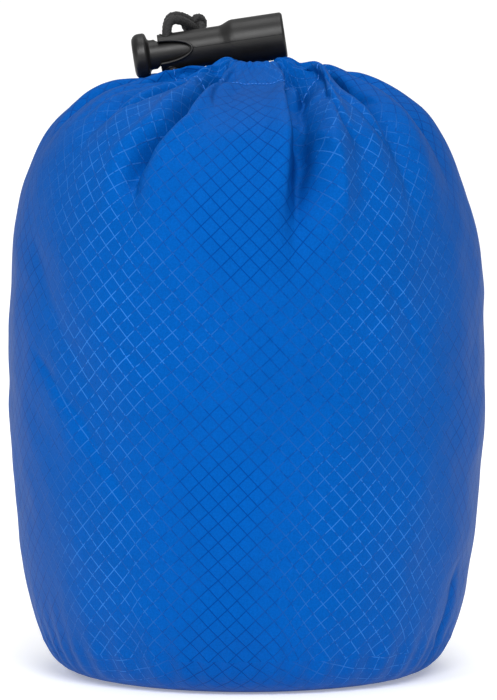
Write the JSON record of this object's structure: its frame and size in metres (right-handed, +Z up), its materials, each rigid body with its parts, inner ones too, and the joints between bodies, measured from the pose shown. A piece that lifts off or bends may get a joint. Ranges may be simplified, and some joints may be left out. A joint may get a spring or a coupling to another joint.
{
  "type": "stuff sack",
  "caption": "Round-bottomed drawcord stuff sack in ripstop cloth, packed full and closed, with a spring cord lock on its knotted cord.",
  "frame": {"origin": "middle of the round base, on the surface it stands on", "axes": "+Z up through the gathered mouth, front towards -Y, the cord lock lies along X behind the mouth's front rim"},
  "size_m": [0.1188, 0.1188, 0.1648],
  "materials": {
    "ripstop": "coated ripstop weave, soft sheen",
    "ripstop_inside": "inner face of the same cloth",
    "thread": "matched polyester thread",
    "packed_goods": "soft packed cloth",
    "cord": "braided cord",
    "lock_plastic": "satin moulded",
    "spring_steel": "drawn wire"
  },
  "bodies": {
    "sack": {"body_panel": "ripstop", "base_panel": "ripstop", "base_seam": "ripstop_inside", "side_seam": "ripstop_inside", "drawcord_channel": "ripstop", "base_stitching": "thread", "side_stitching": "thread", "channel_stitching": "thread", "exit_buttonhole": "thread", "packed_contents": "packed_goods", "drawcord_loop": "cord"},
    "cord_lock": {"lock_barrel": "lock_plastic", "lock_spring": "spring_steel", "drawcord_tail_front": "cord", "drawcord_tail_back": "cord", "drawcord_knot": "cord", "drawcord_tips": "cord"},
    "plunger": {"lock_plunger": "lock_plastic"}
  },
  "joints": [
    {"name": "drawcord_pull", "type": "slide", "parent": "sack", "child": "cord_lock", "axis": [-0.1464, 0.1392, 0.9794], "range_m": [0, 0.008], "deforming": ["drawcord_tail_front", "drawcord_tail_back"]},
    {"name": "plunger_press", "type": "slide", "parent": "cord_lock", "child": "plunger", "axis": [0.989, 0, 0.1478], "range_m": [0, 0.002], "stiffness_N_per_m": 400, "springref_m": -0.004, "deforming": ["lock_spring"]}
  ]
}
